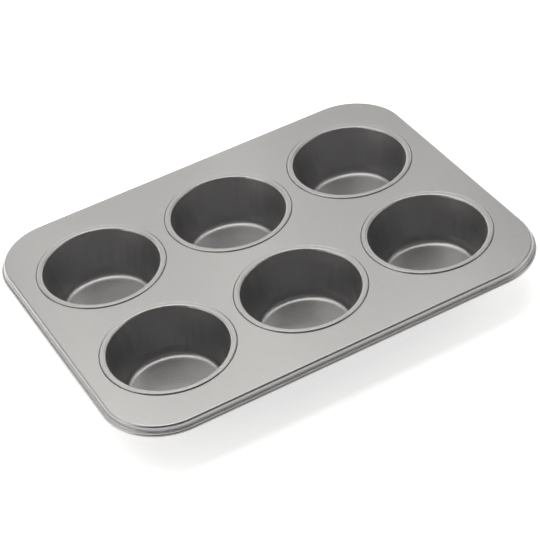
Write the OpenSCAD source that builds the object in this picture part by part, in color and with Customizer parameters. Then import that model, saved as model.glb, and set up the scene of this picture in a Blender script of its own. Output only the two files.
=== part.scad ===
// Popover pan: a pressed steel tray with a wired, rolled rim, and six separately drawn cups that
// are locked into its holes by a flattened double seam. Sizes are in millimetres.
// The frame has its origin at the centre of the pan, on the surface that the cups stand on. +X runs
// along the pan's length and +Z points up, out of the cups' mouths.

/* [Tray] */
// Flat web between neighbouring cups in a row, where it is narrowest
web_x = 8.5; // [4:0.5:30]
// Flat web between the two rows of cups, where it is narrowest
web_y = 13.2; // [4:0.1:40]
// Flat margin between a row's last cup and the tray's rim
margin_x = 12.25; // [6:0.05:40]
// Flat margin between the rows and the tray's long rims
margin_y = 23.1; // [6:0.05:50]
// Radius of the flat tray's corners
flat_r = 43; // [20:0.5:50]
// Thickness of the tray's sheet
tray_t = 0.6; // [0.5:0.1:0.8]

/* [Cups] */
// Inside diameter of a cup just below its rounded mouth
mouth_d = 88.4; // [70:0.2:110]
// Diameter of the flat part of a cup's floor
floor_d = 66.4; // [50:0.2:72]
// Depth of a cup, from the top of its flange to the inside of its floor
cup_depth = 41; // [32:1:60]
// Thickness of a cup's sheet
cup_t = 0.6; // [0.5:0.1:0.8]
// Radius of the rounded mouth, on the side that shows
mouth_r = 2; // [1.2:0.1:2.5]
// Inside radius of the bend between a cup's wall and its floor
floor_bend_r = 4; // [2.5:0.5:8]

/* [Seam] */
// How far the seam's flat ring stands above the tray
ring_rise = 0.7; // [0.4:0.1:1]
// Flat length of the folded edges that hook into each other
seam_lap = 1.9; // [1.5:0.05:3]
// Clearance between two layers of the seam
seam_gap = 0.1; // [0.05:0.05:0.15]
// Width of the crevice between the ring and the tray's step round it
crevice_w = 0.2; // [0.15:0.05:0.5]
// Inside radius of the two bends of the tray's step
step_bend_r = 0.15; // [0.1:0.05:0.25]

/* [Rim] */
// Outside radius of the shoulder, where the tray turns down into its skirt
shoulder_r = 1.8; // [1.2:0.1:3]
// Drop from the top of the tray to the top of the rim's ledge
ledge_drop = 5.3; // [4.2:0.1:7]
// Radius of the hollow bend from the skirt out to the ledge
ledge_bend_r = 1; // [0.6:0.1:1.5]
// Width of the flat part of the ledge, inside the bead
ledge_w = 0.2; // [0.1:0.1:2]
// Diameter of the wire that the rim is rolled round
wire_d = 1.4; // [1.2:0.1:2]
// Clearance between the wire and the bead rolled round it
wire_gap = 0.05; // [0.05:0.05:0.2]

/* [Hidden] */

// Steps of a full turn: round the pan's corners and cups, and round a bend of the sheet
turn_fn = 120;
bend_fn = 48;
// Degrees between two points of the fan that cuts a bend out of a ring
fan_step = 60;
// Degrees that a cup's straight wall reaches into the sheet of the bends at its ends
wall_grip = 5;

sheet_grey = [0.70, 0.70, 0.69];
cup_grey = [0.60, 0.60, 0.59];
wire_grey = [0.75, 0.76, 0.78];

// Heights of the seam's four layers, from its ring down, measured from the top of the tray
flange_z = ring_rise - cup_t;
hook_z = flange_z - seam_gap - tray_t;
hem_z = hook_z - seam_gap - cup_t;
seat_z = hem_z - seam_gap - tray_t;

// The cup's fold goes round the tray's hook, and the tray's fold goes round the cup's hem
cup_fold_r = tray_t / 2 + seam_gap;
tray_fold_r = cup_t / 2 + seam_gap;

// Radii from a cup's axis: centres of the mouth's rounding and of the two folds, then the seam's
// outside, the step's wall and the edge of the flat tray
mouth_x = mouth_d / 2 + mouth_r;
tray_fold_x = mouth_x + tray_fold_r + tray_t + seam_gap - (mouth_r - cup_t);
cup_fold_x = tray_fold_x + seam_lap;
ring_x = cup_fold_x + cup_fold_r + cup_t;
step_x = ring_x + crevice_w;
opening_x = step_x + tray_t + step_bend_r;

// Distances between the axes of neighbouring cups, along a row and from row to row
cup_pitch = 2 * opening_x + web_x;
row_pitch = 2 * opening_x + web_y;

// The cup's floor, and the straight wall that is tangent to the mouth's and the floor's bends
floor_z = ring_rise - cup_depth;
mouth_z = ring_rise - mouth_r;
floor_bend_x = floor_d / 2;
floor_bend_z = floor_z + floor_bend_r;
wall_run = mouth_x - floor_bend_x;
wall_rise = mouth_z - floor_bend_z;
wall_taper = atan2(wall_run, wall_rise)
    - asin((mouth_r + floor_bend_r) / norm([wall_run, wall_rise]));

// Height of the tray's top above the surface that the cups stand on
tray_z = cup_t - floor_z;

// The rim's section, measured outwards from the edge of the flat tray
ledge_bend_x = shoulder_r + ledge_bend_r;
ledge_bend_z = ledge_bend_r - ledge_drop;
bead_x = ledge_bend_x + ledge_w;
bead_bore_r = wire_d / 2 + wire_gap;
bead_r = bead_bore_r + tray_t;
bead_z = -ledge_drop - bead_r;
// The curl starts on top of the bead and ends on its inner side, three quarters of a turn on
curl_from = -180;
curl_to = 90;

// The flat tray is a rectangle with round corners: half sizes and the first corner's centre
flat_half = [cup_pitch + opening_x + margin_x, row_pitch / 2 + opening_x + margin_y];
corner_at = [flat_half.x - flat_r, flat_half.y - flat_r];

// The direction at angle a from the x axis, of length 1
function toward(a) = [cos(a), sin(a)];

// A piece of bent sheet in section, centred on its bend: r is the inside radius, and from and to
// are its first and last angles
module bend(r, t, from, to) {
    outer = r + t;
    fans = ceil((to - from) / fan_step);
    intersection() {
        difference() {
            circle(outer, $fn = bend_fn);
            circle(r, $fn = bend_fn);
        }
        polygon(concat([[0, 0]], [for (i = [0:fans])
            2 * outer * toward(from + (to - from) * i / fans)]));
    }
}

// A piece of flat sheet in section, from x0 to x1, with its underside at z
module flat(x0, x1, z, t) {
    translate([x0, z]) square([x1 - x0, t]);
}

// The cup's section: floor, wall, mouth, flange on top of the seam, fold and hem
module cup_section() {
    inside = [floor_bend_x, floor_bend_z];
    mouth = [mouth_x, mouth_z];
    low_end = -wall_taper;
    high_end = 180 - wall_taper;
    flat(0, floor_bend_x, floor_z - cup_t, cup_t);
    translate(inside) bend(floor_bend_r, cup_t, -90, low_end);
    // The straight wall, whose ends reach into the sheet of both bends
    polygon([
        inside + floor_bend_r * toward(low_end),
        inside + (floor_bend_r + cup_t / 2) * toward(low_end - wall_grip),
        inside + (floor_bend_r + cup_t) * toward(low_end),
        mouth + (mouth_r - cup_t) * toward(high_end),
        mouth + (mouth_r - cup_t / 2) * toward(high_end - wall_grip),
        mouth + mouth_r * toward(high_end)
    ]);
    translate(mouth) bend(mouth_r - cup_t, cup_t, 90, high_end);
    flat(mouth_x, cup_fold_x, flange_z, cup_t);
    translate([cup_fold_x, flange_z - cup_fold_r]) bend(cup_fold_r, cup_t, -90, 90);
    flat(tray_fold_x, cup_fold_x, hem_z, cup_t);
}

// The tray's section round a hole: step down to the seat, fold and hook
module collar_section() {
    foot_x = step_x - step_bend_r;
    foot_z = seat_z + tray_t + step_bend_r;
    head_z = -tray_t - step_bend_r;
    translate([opening_x, head_z]) bend(step_bend_r, tray_t, 90, 180);
    translate([step_x, foot_z]) square([tray_t, head_z - foot_z]);
    translate([foot_x, foot_z]) bend(step_bend_r, tray_t, -90, 0);
    flat(tray_fold_x, foot_x, seat_z, tray_t);
    translate([tray_fold_x, hook_z - tray_fold_r]) bend(tray_fold_r, tray_t, 90, 270);
    flat(tray_fold_x, cup_fold_x, hook_z, tray_t);
}

// The rim's section from the edge of the flat tray: shoulder, skirt, ledge and curl
module rim_section() {
    skirt_x = shoulder_r - tray_t;
    translate([0, -shoulder_r]) bend(shoulder_r - tray_t, tray_t, 0, 90);
    translate([skirt_x, ledge_bend_z]) square([tray_t, -shoulder_r - ledge_bend_z]);
    translate([ledge_bend_x, ledge_bend_z]) bend(ledge_bend_r, tray_t, 180, 270);
    flat(ledge_bend_x, bead_x, -ledge_drop - tray_t, tray_t);
    translate([bead_x, bead_z]) bend(bead_bore_r, tray_t, curl_from, curl_to);
}

// Carries a section that is drawn outwards from the flat tray's edge all the way round the pan
module round_the_edge() {
    for (side = [0:3]) {
        across = side % 2 == 0;
        reach = across ? flat_half.x : flat_half.y;
        run = across ? corner_at.y : corner_at.x;
        rotate(90 * side) {
            translate([reach, run, 0]) rotate([90, 0, 0]) linear_extrude(2 * run) children();
            translate([reach - flat_r, run, 0])
                rotate_extrude(angle = 90, $fn = turn_fn) translate([flat_r, 0]) children();
        }
    }
}

module flat_outline() {
    square([2 * flat_half.x, 2 * corner_at.y], center = true);
    square([2 * corner_at.x, 2 * flat_half.y], center = true);
    for (sx = [-1, 1], sy = [-1, 1])
        translate([sx * corner_at.x, sy * corner_at.y]) circle(flat_r, $fn = turn_fn);
}

// Puts its children at every cup's axis
module at_each_cup() {
    for (column = [-1:1], row = [-1, 1])
        translate([column * cup_pitch, row * row_pitch / 2]) children();
}

module tray() {
    color(sheet_grey) translate([0, 0, tray_z]) {
        translate([0, 0, -tray_t]) linear_extrude(tray_t) difference() {
            flat_outline();
            at_each_cup() circle(opening_x, $fn = turn_fn);
        }
        at_each_cup() rotate_extrude($fn = turn_fn) collar_section();
        round_the_edge() rim_section();
    }
}

module rim_wire() {
    color(wire_grey) translate([0, 0, tray_z])
        round_the_edge() translate([bead_x, bead_z]) circle(d = wire_d, $fn = bend_fn);
}

// A cup in its column, from -1 at the left to 1 at the right, and its row, 1 at the back or -1
module cup(column, row) {
    color(cup_grey) translate([column * cup_pitch, row * row_pitch / 2, tray_z])
        rotate_extrude($fn = turn_fn) cup_section();
}

tray();
rim_wire();
cup(-1, 1);  // cup_back_left
cup(0, 1);  // cup_back_centre
cup(1, 1);  // cup_back_right
cup(-1, -1);  // cup_front_left
cup(0, -1);  // cup_front_centre
cup(1, -1);  // cup_front_right
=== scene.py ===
# %% [markdown]
# A popover pan
# The pan is pressed from thin carbon steel sheet: one flat tray, six drawn cups locked into its
# holes, and a wire rolled into its rim. The CAD model already has every bend of the sheet as a true
# surface, so nothing is remodelled here. This lesson gives the metal its coating, and builds the
# small studio that lets a satin metal look like metal.

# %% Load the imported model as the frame
import math

import bpy
from mathutils import Matrix, Vector


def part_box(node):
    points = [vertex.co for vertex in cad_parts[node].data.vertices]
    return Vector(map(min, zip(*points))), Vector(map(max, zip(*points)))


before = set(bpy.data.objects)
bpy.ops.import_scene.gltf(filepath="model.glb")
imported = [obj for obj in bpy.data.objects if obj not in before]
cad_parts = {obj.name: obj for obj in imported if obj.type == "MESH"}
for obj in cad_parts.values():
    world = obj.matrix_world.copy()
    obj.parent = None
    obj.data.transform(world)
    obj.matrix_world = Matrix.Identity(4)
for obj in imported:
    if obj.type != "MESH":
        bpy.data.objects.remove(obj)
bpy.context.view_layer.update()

# %% [markdown]
# The camera
# The photograph looks down on the pan from its front left corner, through a long lens, with the
# picture turned a little. Lens and place were worked out from the pan's own circles and corners.
# The turn is a roll about the line of sight. Euler angles would mix it with the other two turns, so
# the camera's three axes are worked out first and then put into a matrix.

# %% Place the camera
PHOTO_SIDE_PX = 540
FOCAL_PX = 1868.7
SENSOR_MM = 36.0
AZIMUTH, ELEVATION, ROLL = -23.7145, 38.8026, -8.3378
DISTANCE = 1.38713
SIDEWAYS, UPWARDS = 0.00488, -0.01574
TRAY_TOP = 0.0409


def camera_axes(azimuth, elevation, roll):
    """The camera's right, up and backward directions, for angles in degrees."""
    a, e, r = (math.radians(x) for x in (azimuth, elevation, roll))
    back = Vector((math.sin(a) * math.cos(e), -math.cos(a) * math.cos(e), math.sin(e)))
    level = Vector((math.cos(a), math.sin(a), 0))
    upright = back.cross(level)
    right = level * math.cos(r) + upright * math.sin(r)
    up = upright * math.cos(r) - level * math.sin(r)
    return right, up, back


right, up, back = camera_axes(AZIMUTH, ELEVATION, ROLL)
camera = bpy.data.objects.new("camera", bpy.data.cameras.new("camera"))
bpy.context.scene.collection.objects.link(camera)
camera.data.sensor_width = SENSOR_MM
camera.data.lens = FOCAL_PX * SENSOR_MM / PHOTO_SIDE_PX
at = Vector((0, 0, TRAY_TOP)) + back * DISTANCE + right * SIDEWAYS + up * UPWARDS
camera.matrix_world = Matrix.Translation(at) @ Matrix((right, up, back)).transposed().to_4x4()
bpy.context.scene.camera = camera
print("Lens, in mm:", round(camera.data.lens, 1))

# %% [markdown]
# Colours and nodes
# A colour is given as an sRGB hex value, and Blender's nodes want linear light, so one
# function turns the one into the other. A second adds a node with its settings and its links, and a
# third starts a material, so that each material below reads as a short recipe.

# %% Helpers for every material


def linear(hex_colour):
    """Linear RGBA of an sRGB hex colour such as '#8a8a88'."""
    channels = [int(hex_colour[i:i + 2], 16) / 255 for i in (1, 3, 5)]
    light = [c / 12.92 if c <= 0.04045 else ((c + 0.055) / 1.055) ** 2.4 for c in channels]
    return (*light, 1.0)


def add(tree, kind, inputs=None, **settings):
    """Adds a node. A value in inputs is a number, a colour, or another node's output socket."""
    node = tree.nodes.new("ShaderNode" + kind)
    for name, value in settings.items():
        setattr(node, name, value)
    for name, value in (inputs or {}).items():
        if isinstance(value, bpy.types.NodeSocket):
            tree.links.new(value, node.inputs[name])
        else:
            node.inputs[name].default_value = value
    return node


def new_material(name):
    """An empty material and its node tree."""
    material = bpy.data.materials.new(name)
    material.use_nodes = True
    material.node_tree.nodes.clear()
    return material, material.node_tree


print("Half of full sRGB, in linear light:", round(linear("#808080")[0], 3))

# %% [markdown]
# The coating
# The steel carries a baked-on non-stick coating: metal flakes in a clear resin. To the eye it is a
# satin metal with a thin gloss over it. The flakes mirror the studio softly, so the flat tray is
# pale and the cups' walls, which see only each other, go dark. The resin adds the faint sharper
# streaks of light in those walls. A painted grey would look alike everywhere, so the base is a
# metal, at the roughness where a lamp blurs to about the width seen on the pan, under a clear coat.
# The flakes are a fraction of a millimetre, less than a pixel here, so they are drawn coarser, as
# coarse as it takes for them to show. They lie at slightly different angles, which is a bump and
# not a change of colour.
# The resin also bakes with a slow ripple, like the skin of an orange.

# %% Make the coating's texture
FLAKE_MM, FLAKE_RISE_MM = 1.5, 0.13
FLAKE_ROUGHNESS = 0.03  # how much a flake is rougher or smoother than the rest
FLAKE_RANGE = (0.3, 0.7)  # nearly all of a noise lies between these
RIPPLE_MM, RIPPLE_RISE_MM = 4.0, 0.03
COAT_TINT = "#989799"


def grain(tree, place, step_mm, detail=0.0):
    """Noise whose lumps are step_mm across, from 0 to 1."""
    noise = add(tree, "TexNoise", {"Vector": place, "Scale": 1000 / step_mm, "Detail": detail})
    return noise.outputs["Fac"]


def raise_by(tree, height, rise_mm, under=None):
    """Bumps the surface by a height from 0 to 1, on top of the bump under it."""
    inputs = {"Height": height, "Distance": rise_mm / 1000}
    if under:
        inputs["Normal"] = under
    return add(tree, "Bump", inputs).outputs["Normal"]


def finish_coating(tree, place, normal, roughness, resin_roughness):
    """The flakes, their bump and the resin over them."""
    flakes = grain(tree, place, FLAKE_MM, detail=1.0)
    normal = raise_by(tree, flakes, FLAKE_RISE_MM, normal)
    rough = add(tree, "MapRange", {
        "Value": flakes, "From Min": FLAKE_RANGE[0], "From Max": FLAKE_RANGE[1],
        "To Min": roughness - FLAKE_ROUGHNESS, "To Max": roughness + FLAKE_ROUGHNESS})
    shader = add(tree, "BsdfPrincipled", {
        "Base Color": linear(COAT_TINT), "Metallic": 1.0, "Roughness": rough.outputs["Result"],
        "Coat Weight": 1.0, "Coat Roughness": resin_roughness, "Normal": normal})
    add(tree, "OutputMaterial", {"Surface": shader.outputs["BSDF"]})


print("Coating: flakes of", FLAKE_MM, "mm, ripple of", RIPPLE_MM, "mm")

# %% [markdown]
# The tray
# The tray is cut from cold-rolled sheet, which is flat and even, so the coating lies smoothly on
# it: the flakes blur less here than in the cups, which keeps the rim's bends crisp. It has the
# coating's ripple and flakes and nothing else.

# %% Coat the rolled sheet of the tray
ROLLED_ROUGHNESS, ROLLED_RESIN = 0.35, 0.18

tray_coating, tree = new_material("nonstick_coating_on_rolled_sheet")
place = add(tree, "TexCoord").outputs["Object"]
ripple = raise_by(tree, grain(tree, place, RIPPLE_MM), RIPPLE_RISE_MM)
finish_coating(tree, place, ripple, ROLLED_ROUGHNESS, ROLLED_RESIN)
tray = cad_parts["tray"]
tray.data.materials.clear()
tray.data.materials.append(tray_coating)
print("tray has", tray_coating.name)

# %% [markdown]
# The cups
# A punch draws each cup out of a flat disc. The sheet slides down between punch and die, which
# leaves faint streaks that run down the wall. They follow the cup's own axis, so the noise is
# looked up by direction round that axis and hardly at all by height. All cups share one material:
# the grid of cups is folded onto one cup, by wrapping x and by taking y without its sign.

# %% Measure the grid of cups
CUP_NODES = [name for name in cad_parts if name.startswith("cup_")]


def cup_centre(name):
    low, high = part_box(name)
    return (Vector(low) + Vector(high)) / 2


middle, right_hand = cup_centre("cup_back_centre"), cup_centre("cup_back_right")
PITCH = right_hand.x - middle.x
ROW_Y = middle.y
print("Cups, in mm:", round(1000 * PITCH, 1), "apart, rows at", round(1000 * ROW_Y, 1))

# %% Coat the drawn sheet of the cups
DRAWN_ROUGHNESS, DRAWN_RESIN = 0.42, 0.25
WALL_R = 0.042  # metres from a cup's axis to the middle of its wall
WALL_FADES_FROM, WALL_FADES_TO = 0.004, 0.010  # metres above the floor, on the bend into the wall
STREAK_MM, STREAK_LENGTH_MM, STREAK_RISE_MM = 7.5, 120.0, 0.75

cup_coating, tree = new_material("nonstick_coating_on_drawn_sheet")
place = add(tree, "TexCoord").outputs["Object"]
axes = add(tree, "SeparateXYZ", {"Vector": place})
x = add(tree, "Math", {0: axes.outputs["X"], 1: PITCH / 2, 2: -PITCH / 2}, operation="WRAP")
y = add(tree, "Math", {0: axes.outputs["Y"]}, operation="ABSOLUTE")
y = add(tree, "Math", {0: y.outputs["Value"], 1: ROW_Y}, operation="SUBTRACT")
spoke = add(tree, "CombineXYZ", {"X": x.outputs["Value"], "Y": y.outputs["Value"]})
spoke = add(tree, "VectorMath", {0: spoke.outputs["Vector"]}, operation="NORMALIZE")
spoke = add(tree, "VectorMath", {0: spoke.outputs["Vector"], "Scale": WALL_R}, operation="SCALE")
slowness = STREAK_MM / STREAK_LENGTH_MM
down = add(tree, "Math", {0: axes.outputs["Z"], 1: slowness}, operation="MULTIPLY")
height = add(tree, "CombineXYZ", {"Z": down.outputs["Value"]})
along = add(tree, "VectorMath", {
    0: spoke.outputs["Vector"], 1: height.outputs["Vector"]}, operation="ADD")
streaks = grain(tree, along.outputs["Vector"], STREAK_MM, detail=2.0)
on_wall = add(tree, "MapRange", {
    "Value": axes.outputs["Z"], "From Min": WALL_FADES_FROM, "From Max": WALL_FADES_TO},
    interpolation_type="SMOOTHSTEP")
streaks = add(tree, "Math", {0: streaks, 1: on_wall.outputs["Result"]}, operation="MULTIPLY")
drawn = raise_by(tree, streaks.outputs["Value"], STREAK_RISE_MM)
finish_coating(tree, place, drawn, DRAWN_ROUGHNESS, DRAWN_RESIN)
for name in CUP_NODES:
    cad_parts[name].data.materials.clear()
    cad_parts[name].data.materials.append(cup_coating)
print(len(CUP_NODES), "cups have", cup_coating.name)

# %% [markdown]
# The wire
# The wire inside the rolled rim is never seen, but it gets its own steel, in case the rim is opened
# for a cutaway. Wire is drawn through a die, which rules fine lines along it. It lies level all
# round the pan, so noise that changes fast with height and slowly along x and y gives such lines.

# %% Make the drawn wire
DRAW_LINE_MM, DRAW_LINE_LENGTH_MM, DRAW_LINE_RISE_MM = 0.1, 20.0, 0.005
WIRE_TINT, WIRE_ROUGHNESS = "#c2c3c6", 0.3

wire_steel, tree = new_material("bright_drawn_steel_wire")
place = add(tree, "TexCoord").outputs["Object"]
stretch = DRAW_LINE_MM / DRAW_LINE_LENGTH_MM
place = add(tree, "VectorMath", {0: place, 1: (stretch, stretch, 1)}, operation="MULTIPLY")
lines = grain(tree, place.outputs["Vector"], DRAW_LINE_MM, detail=2.0)
shader = add(tree, "BsdfPrincipled", {
    "Base Color": linear(WIRE_TINT), "Metallic": 1.0, "Roughness": WIRE_ROUGHNESS,
    "Normal": raise_by(tree, lines, DRAW_LINE_RISE_MM)})
add(tree, "OutputMaterial", {"Surface": shader.outputs["BSDF"]})
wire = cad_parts["rim_wire"]
wire.data.materials.clear()
wire.data.materials.append(wire_steel)
print("rim_wire has", wire_steel.name)

# %% [markdown]
# The floor
# A wide sheet of white paper. It has to show white in the picture and still take the pan's soft
# shadow, and no lamp is turned up for that. So the paper has a little glow of its own, which only
# the camera and mirrored or refracted rays see: the metal then shows the same white floor that the
# camera does, and the glow lights nothing. Far from the pan, where no lamp reaches, the glow rises
# until it is white by itself, so that a low view isn't cut off by a grey band.

# %% Lay the floor
FLOOR_HALF = 30.0
PAPER_WHITE = 0.9  # share of the light that paper gives back
FLOOR_GLOW, FAR_GLOW = 0.6, 0.95
GLOW_RISES_FROM, GLOW_RISES_TO = 0.8, 1.5  # metres from the pan
floor_mesh = bpy.data.meshes.new("floor")
floor_mesh.from_pydata(
    [(-FLOOR_HALF, -FLOOR_HALF, 0), (FLOOR_HALF, -FLOOR_HALF, 0),
     (FLOOR_HALF, FLOOR_HALF, 0), (-FLOOR_HALF, FLOOR_HALF, 0)], [], [(0, 1, 2, 3)])
floor = bpy.data.objects.new("floor", floor_mesh)
bpy.context.scene.collection.objects.link(floor)
floor_paper, tree = new_material("white_paper")
paper = add(tree, "BsdfDiffuse", {"Color": (PAPER_WHITE, PAPER_WHITE, PAPER_WHITE, 1)})
away = add(tree, "VectorMath", {0: add(tree, "TexCoord").outputs["Object"]}, operation="LENGTH")
strength = add(tree, "MapRange", {
    "Value": away.outputs["Value"], "From Min": GLOW_RISES_FROM, "From Max": GLOW_RISES_TO,
    "To Min": FLOOR_GLOW, "To Max": FAR_GLOW})
glow = add(tree, "Emission", {"Strength": strength.outputs["Result"]})
both = add(tree, "AddShader", {0: paper.outputs["BSDF"], 1: glow.outputs["Emission"]})
rays = add(tree, "LightPath")
seen = add(tree, "Math", {
    0: rays.outputs["Is Camera Ray"], 1: rays.outputs["Is Glossy Ray"]}, operation="MAXIMUM")
seen = add(tree, "Math", {
    0: seen.outputs["Value"], 1: rays.outputs["Is Transmission Ray"]}, operation="MAXIMUM")
paper = add(tree, "MixShader", {
    0: seen.outputs["Value"], 1: paper.outputs["BSDF"], 2: both.outputs["Shader"]})
add(tree, "OutputMaterial", {"Surface": paper.outputs["Shader"]})
floor_mesh.materials.append(floor_paper)
print("Floor, in m:", 2 * FLOOR_HALF, "across")

# %% [markdown]
# The lamps
# A satin metal shows what stands round it, so where the studio is bright matters more than how
# bright it is. One panel of light after another was tried alone, and kept where the pan looked
# more like the photograph. A bank of panels hangs close over the pan, more to the back left, and
# lights the cups' floors. The low panels at the left and back put the pale lines on the bends
# round those floors, the panels behind make the tray pale, and the front is nearly dark, which
# leaves the cups' walls and the hollow of the rim dark.
# A panel is described by how bright its face is, because that is what the metal mirrors. Blender
# wants an area lamp's power, which is that brightness times pi times the area.

# %% A panel of light
PANEL_COLOUR = (1.0, 0.985, 0.935)


def softbox(name, at, aim, width, height, glow):
    """A rectangular area lamp whose face has the radiance glow."""
    lamp = bpy.data.lights.new(name, "AREA")
    lamp.shape = "RECTANGLE"
    lamp.size, lamp.size_y = width, height
    lamp.color = PANEL_COLOUR
    lamp.energy = glow * math.pi * width * height
    holder = bpy.data.objects.new(name, lamp)
    bpy.context.scene.collection.objects.link(holder)
    holder.location = at
    holder.rotation_mode = "QUATERNION"
    holder.rotation_quaternion = (Vector(aim) - Vector(at)).to_track_quat("-Z", "Y")


print("Panels' colour:", PANEL_COLOUR)

# %% Hang the bank over the pan
BANK_HEIGHT, BANK_PANEL = 0.6, 0.3
BANK = [  # place across and along the studio, in m, and brightness
    (-0.45, 0.3, 2.1), (-0.15, 0.3, 2.1), (0.15, 0.3, 0.7), (0.45, 0.3, 0.7),
    (-0.45, 0.0, 1.6), (-0.15, 0.0, 3.1), (0.15, 0.0, 3.0), (0.45, 0.0, 1.9),
]
for i, (x, y, brightness) in enumerate(BANK):
    softbox(f"bank_{i}", (x, y, BANK_HEIGHT), (x, y, 0), BANK_PANEL, BANK_PANEL, brightness)
print("Bank:", len(BANK), "panels")

# %% Stand the rings round it
AIM = Vector((0, 0, TRAY_TOP))
RINGS = [  # name, degrees above the floor, distance, width and height of a panel in m, then the
    # brightness of each panel by its place in degrees clockwise from the back, seen from above
    ("upper_front", 62, 1.3, 0.7, 0.5, {180: 0.3, 225: 0.3}),
    ("middle_back", 40, 1.5, 0.4, 0.54, {0: 0.95, 15: 1.2, 30: 1.05, 45: 0.5}),
    ("middle_sides", 38, 1.5, 0.75, 0.6, {120: 1.15, 270: 0.65}),
    ("low_back", 14, 1.7, 0.85, 0.55, {0: 2.5, 30: 2.25, 60: 2.75, 90: 1.35, 120: 2.2}),
    ("low_left", 14, 1.7, 0.85, 0.55, {270: 3.6, 300: 2.2, 330: 3.45}),
]
for name, above, distance, wide, tall, panels in RINGS:
    e = math.radians(above)
    for turn, brightness in panels.items():
        a = math.radians(turn)
        towards = Vector((math.sin(a) * math.cos(e), math.cos(a) * math.cos(e), math.sin(e)))
        softbox(f"{name}_{turn}", AIM + distance * towards, AIM, wide, tall, brightness)
    print(name, len(panels), "panels")

# %% [markdown]
# The room
# A dim, plain room fills what no panel covers, so that nothing on the pan mirrors pure black.

# %% Set the room's light
ROOM_LIGHT = 0.06
world = bpy.data.worlds.new("room")
world.use_nodes = True
world.node_tree.nodes.clear()
room = add(world.node_tree, "Background", {"Color": (1, 1, 1, 1), "Strength": ROOM_LIGHT})
add(world.node_tree, "OutputWorld", {"Surface": room.outputs["Background"]})
bpy.context.scene.world = world
print("Room's light:", ROOM_LIGHT)

# %% [markdown]
# The end
# The Standard view shows a colour as it is written.

# %% Set the view
bpy.context.scene.view_settings.view_transform = "Standard"
